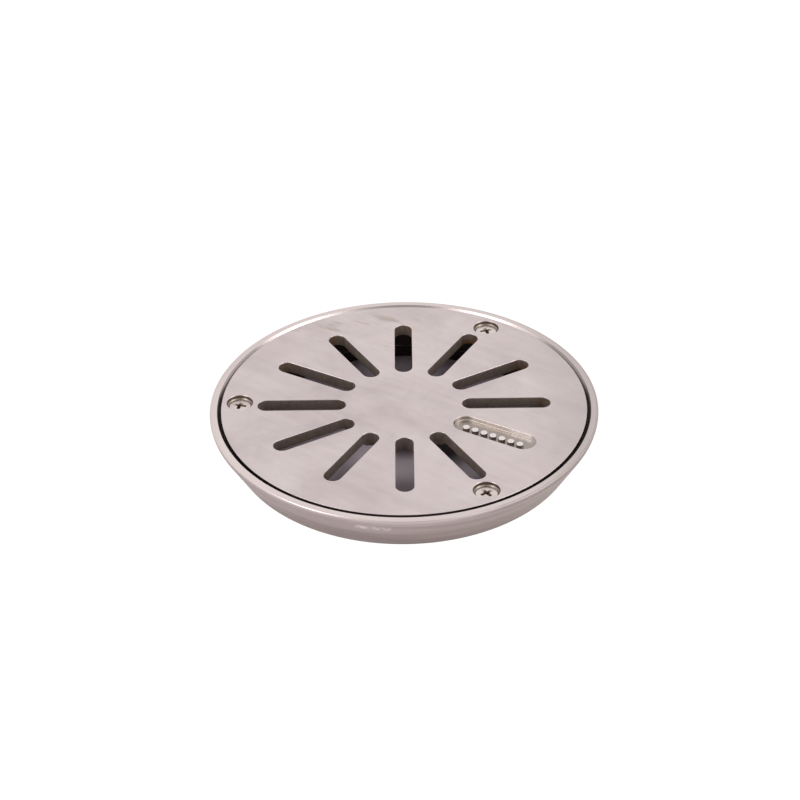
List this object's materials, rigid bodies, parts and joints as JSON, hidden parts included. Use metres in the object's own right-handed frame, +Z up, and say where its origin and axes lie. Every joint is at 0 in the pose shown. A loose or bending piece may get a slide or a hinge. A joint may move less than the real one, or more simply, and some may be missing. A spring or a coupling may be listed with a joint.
{
  "type": "floor drain grate",
  "caption": "Round stainless floor drain grate: a slotted plate held by recessed captive screws in a tapered, open-bottomed frame ring.",
  "frame": {"origin": "centre of the frame ring's flat underside", "axes": "+Z up through the grate, +X along one slot; the blind badge recess lies 30 degrees clockwise of +X seen from above"},
  "size_m": [0.165, 0.165, 0.02],
  "materials": {
    "frame_steel": "turned stainless steel, fine lines round the ring",
    "grate_steel": "ground stainless steel, fine diagonal lines and soft clouding",
    "gasket_rubber": "matt black EPDM",
    "insert_brass": "plain turned brass",
    "screw_steel": "satin stainless steel, brown film in the cross recess"
  },
  "bodies": {
    "frame": {"frame_ring": "frame_steel", "seat_gasket": "gasket_rubber", "thread_insert_1": "insert_brass", "thread_insert_2": "insert_brass", "thread_insert_3": "insert_brass"},
    "grate": {"grate": "grate_steel"},
    "screw_1": {"screw_1": "screw_steel"},
    "screw_2": {"screw_2": "screw_steel"},
    "screw_3": {"screw_3": "screw_steel"}
  },
  "joints": [
    {"name": "grate_lift", "type": "slide", "parent": "frame", "child": "grate", "axis": [0, 0, 1], "range_m": [0, 0.04]},
    {"name": "screw_1_turn", "type": "hinge", "parent": "grate", "child": "screw_1", "pos_m": [0.03709, 0.05936, 0], "axis": [0, 0, 1], "range_deg": [0, 2925]},
    {"name": "screw_2_turn", "type": "hinge", "parent": "grate", "child": "screw_2", "pos_m": [-0.06996, 0.00244, 0], "axis": [0, 0, 1], "range_deg": [0, 2925]},
    {"name": "screw_3_turn", "type": "hinge", "parent": "grate", "child": "screw_3", "pos_m": [0.03286, -0.06181, 0], "axis": [0, 0, 1], "range_deg": [0, 2925]}
  ]
}
